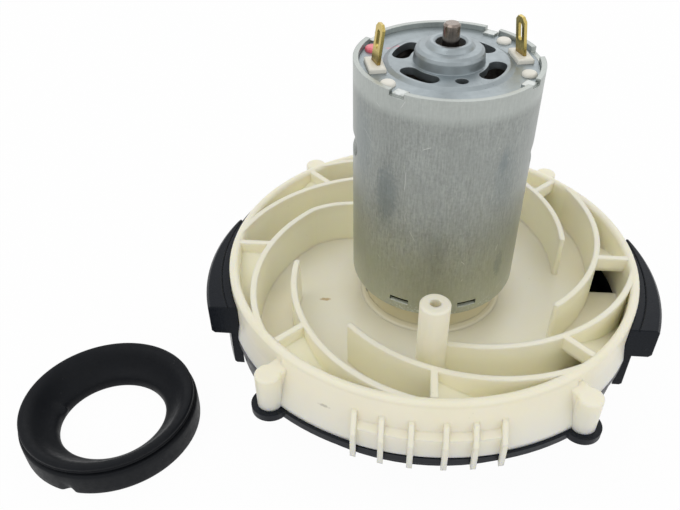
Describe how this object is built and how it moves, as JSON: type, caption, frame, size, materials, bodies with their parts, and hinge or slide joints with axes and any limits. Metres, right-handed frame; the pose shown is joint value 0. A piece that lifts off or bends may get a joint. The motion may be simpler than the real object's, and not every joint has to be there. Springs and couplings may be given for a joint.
{
  "type": "vacuum cleaner motor",
  "caption": "Brushed DC motor standing on a spiral vaned air diffuser, with impeller, fan cover, side buffers and a loose seal ring.",
  "frame": {"origin": "centre of the seal seat's rim, the lowest face of the fan cover, on the shaft's axis", "axes": "+Z along the shaft towards the terminals; -Y towards the comb on the wall; the side pads face +X and -X"},
  "size_m": [0.1368, 0.1006, 0.0804],
  "materials": {
    "cream_plastic": "moulded, slightly glossy",
    "black_plastic": "moulded black",
    "impeller_plastic": "moulded dark grey",
    "black_rubber": "satin black rubber",
    "seal_rubber": "matte black rubber",
    "zinc_steel": "zinc plated, brushed along the can",
    "cap_steel": "zinc plated, satin",
    "bright_steel": "bright",
    "shaft_steel": "dark ground steel",
    "lamination_steel": "laminated",
    "white_plastic": "moulded white",
    "dark_moulding": "moulded brown black",
    "brass": "stamped brass",
    "copper": "enamelled copper",
    "sintered_bronze": "oiled sintered bronze",
    "carbon": "pressed carbon",
    "fibre": "pressed fibre",
    "ferrite": "ferrite"
  },
  "bodies": {
    "housing": {"diffuser": "cream_plastic", "fan_cover": "black_plastic", "side_pad_right": "black_rubber", "side_pad_left": "black_rubber", "motor_screws": "bright_steel", "cover_screws": "bright_steel", "motor_can": "zinc_steel", "end_cap": "cap_steel", "brush_card": "white_plastic", "terminal_right": "brass", "terminal_left": "brass", "brush_box_right": "brass", "brush_box_left": "brass", "brush_spring_right": "bright_steel", "brush_spring_left": "bright_steel", "front_bearing": "sintered_bronze", "rear_bearing": "sintered_bronze", "magnet_front": "ferrite", "magnet_back": "ferrite", "magnet_clip_right": "bright_steel", "magnet_clip_left": "bright_steel"},
    "rotor": {"shaft": "shaft_steel", "armature_core": "lamination_steel", "core_insulators": "fibre", "armature_windings": "copper", "commutator": "copper", "commutator_hub": "dark_moulding", "thrust_washers": "fibre", "impeller": "impeller_plastic", "impeller_hub": "brass"},
    "brush_right": {"brush_right": "carbon"},
    "brush_left": {"brush_left": "carbon"},
    "seal_ring": {"seal_ring": "seal_rubber"}
  },
  "joints": [
    {"name": "rotor_spin", "type": "hinge", "parent": "housing", "child": "rotor", "pos_m": [0, 0, 0.04], "axis": [0, 0, 1], "continuous": true},
    {"name": "brush_slide_right", "type": "slide", "parent": "housing", "child": "brush_right", "axis": [0.9707, 0.2402, 0], "range_m": [0, 0.0015], "stiffness_N_per_m": 150, "springref_m": -0.001},
    {"name": "brush_slide_left", "type": "slide", "parent": "housing", "child": "brush_left", "axis": [-0.9707, -0.2402, 0], "range_m": [0, 0.0015], "stiffness_N_per_m": 150, "springref_m": -0.001},
    {"name": "ring_lift", "type": "slide", "parent": "housing", "child": "seal_ring", "axis": [0, 0, 1], "range_m": [0, 0.03]}
  ]
}
